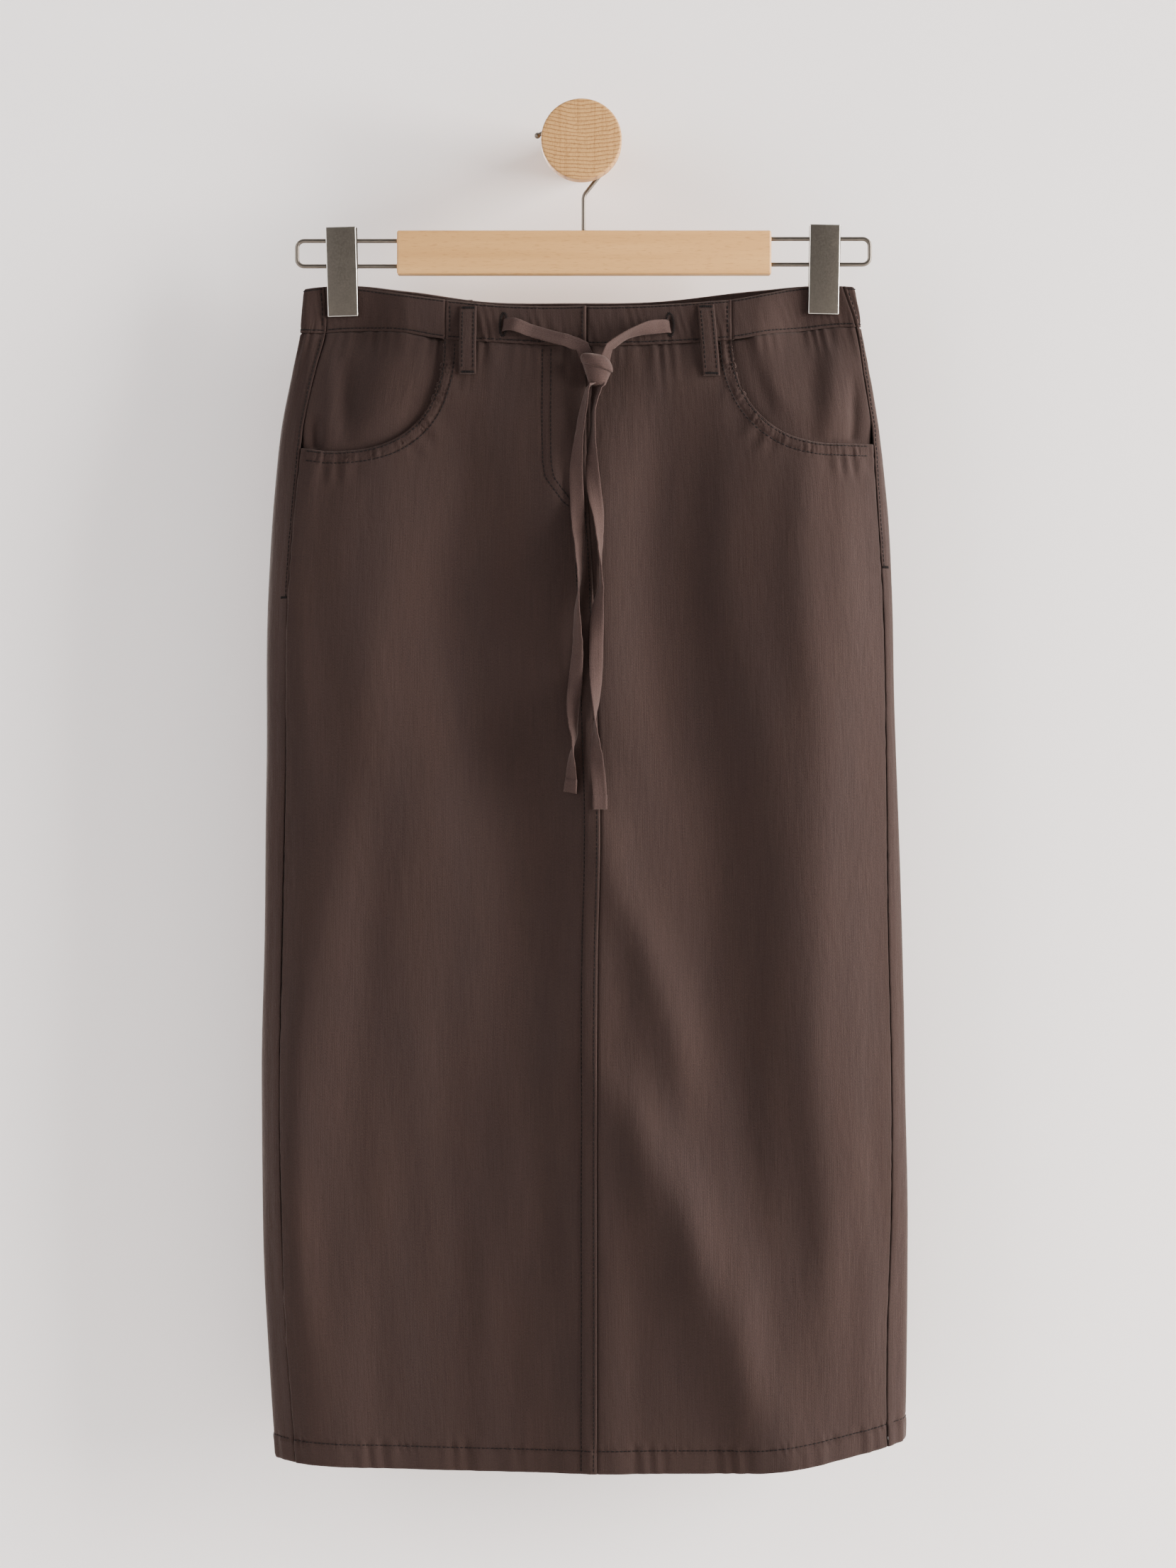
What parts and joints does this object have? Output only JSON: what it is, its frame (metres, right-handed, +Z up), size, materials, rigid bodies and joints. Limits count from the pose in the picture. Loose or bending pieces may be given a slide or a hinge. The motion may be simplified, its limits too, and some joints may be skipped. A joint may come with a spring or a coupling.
{
  "type": "midi skirt on a clip hanger and wall peg",
  "caption": "Straight wrap-front midi skirt with slant pockets and a waist tie, hung by clips from a wooden bar hanger on a round wall peg.",
  "frame": {"origin": "middle of the wall peg's round back face, on the wall", "axes": "+Z up, +X to the viewer's right as seen from the front, +Y into the wall; the skirt's front faces -Y"},
  "size_m": [0.4562, 0.1266, 0.9599],
  "materials": {
    "cloth": "matt dark brown woven twill",
    "tie": "soft dark brown ribbon",
    "beech": "pale satin beech",
    "wire": "plain steel wire",
    "nickel": "brushed dark nickel"
  },
  "bodies": {
    "root": {"front_panel_left": "cloth", "front_panel_right": "cloth", "back_panel": "cloth", "waistband_front_left": "cloth", "waistband_front_right": "cloth", "waistband_side_left": "cloth", "waistband_side_right": "cloth", "waistband_back": "cloth", "pocket_facing_left": "cloth", "pocket_facing_right": "cloth", "belt_loop_front_left": "cloth", "belt_loop_front_right": "cloth", "belt_loop_back_left": "cloth", "belt_loop_back_right": "cloth", "tie_run_left": "tie", "tie_run_right": "tie", "tie_knot": "tie", "tie_tail_left": "tie", "tie_tail_right": "tie", "hanger_bar": "beech", "wall_peg": "beech", "wire_loop_left": "wire", "wire_loop_right": "wire", "hanger_hook": "wire", "clip_front_left": "nickel", "clip_front_right": "nickel", "clip_back_left": "nickel", "clip_back_right": "nickel"}
  },
  "joints": []
}
